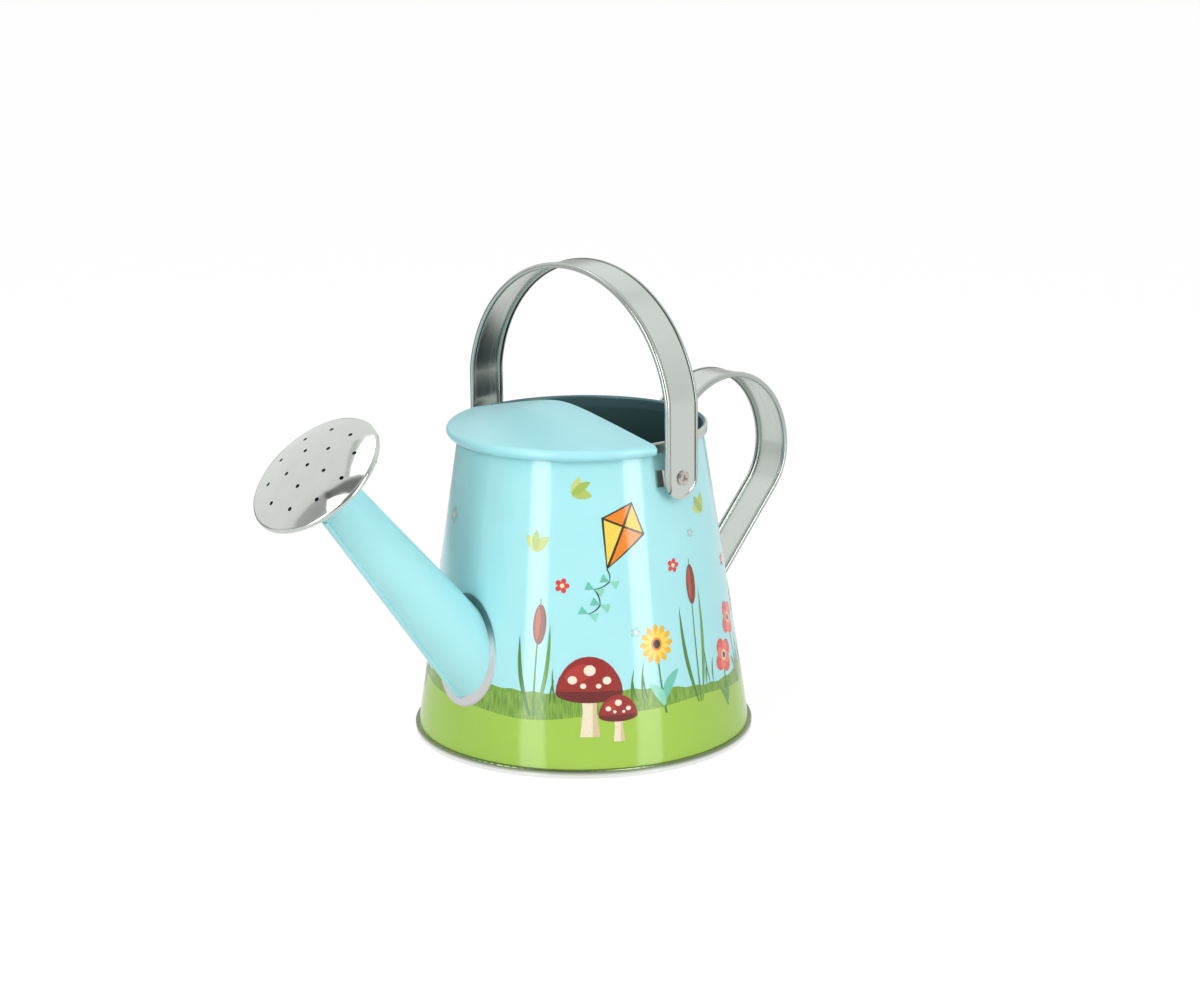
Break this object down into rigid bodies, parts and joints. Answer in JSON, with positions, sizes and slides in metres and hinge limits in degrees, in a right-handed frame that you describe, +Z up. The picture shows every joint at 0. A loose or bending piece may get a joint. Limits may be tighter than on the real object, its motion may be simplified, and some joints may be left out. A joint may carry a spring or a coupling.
{
  "type": "watering can",
  "caption": "Small conical tinplate watering can with a half hood, a slanted spout and perforated rose, a fixed rear strap handle and a swinging strap bail on riveted ears.",
  "frame": {"origin": "centre of the foot ring, on the ground", "axes": "+Z up, +X towards the spout, Y along the bail's pivot line"},
  "size_m": [0.2504, 0.13, 0.1805],
  "materials": {
    "printed_tinplate": "gloss litho print on tinplate",
    "blue_lacquer": "gloss lacquer on tinplate",
    "bare_tinplate": "bare bright tinplate",
    "polished_tin": "polished bright tinplate",
    "galvanised_strap": "smooth galvanised strip",
    "plated_rivet": "zinc-plated, satin"
  },
  "bodies": {
    "can": {"body_wall": "printed_tinplate", "base_plate": "bare_tinplate", "hood": "blue_lacquer", "spout_tube": "blue_lacquer", "spout_collar": "bare_tinplate", "rose_cup": "polished_tin", "rose_face": "polished_tin", "rear_handle": "galvanised_strap", "rear_rivet_upper": "plated_rivet", "rear_rivet_lower": "plated_rivet", "ear_near": "galvanised_strap", "ear_far": "galvanised_strap", "bail_rivet_near": "plated_rivet", "bail_rivet_far": "plated_rivet"},
    "bail": {"bail_handle": "galvanised_strap"}
  },
  "joints": [
    {"name": "bail_pivot", "type": "hinge", "parent": "can", "child": "bail", "pos_m": [0, 0, 0.1063], "axis": [0, 1, 0], "range_deg": [-65, 112]}
  ]
}
